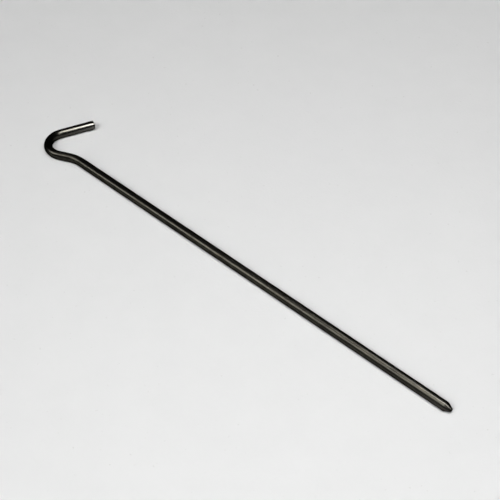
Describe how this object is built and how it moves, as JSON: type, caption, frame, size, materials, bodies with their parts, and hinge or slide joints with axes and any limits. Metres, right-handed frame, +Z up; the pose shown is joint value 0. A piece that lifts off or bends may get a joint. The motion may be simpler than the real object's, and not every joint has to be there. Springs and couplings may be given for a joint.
{
  "type": "tent stake",
  "caption": "Hooked wire tent stake: a round steel rod with a blunt conical point, bent at its other end into an open hook that holds a guy line.",
  "frame": {"origin": "centre of the bounding box's bottom face, on the surface that the stake lies on", "axes": "+X along the straight shank towards the point, +Y towards the side that the hook's tail is on, +Z up, square to the plane of the hook"},
  "size_m": [0.23, 0.0286, 0.004],
  "materials": {
    "drawn_steel": "dark oiled drawn-wire finish, semi-gloss"
  },
  "bodies": {
    "root": {"stake_wire": "drawn_steel"}
  },
  "joints": []
}
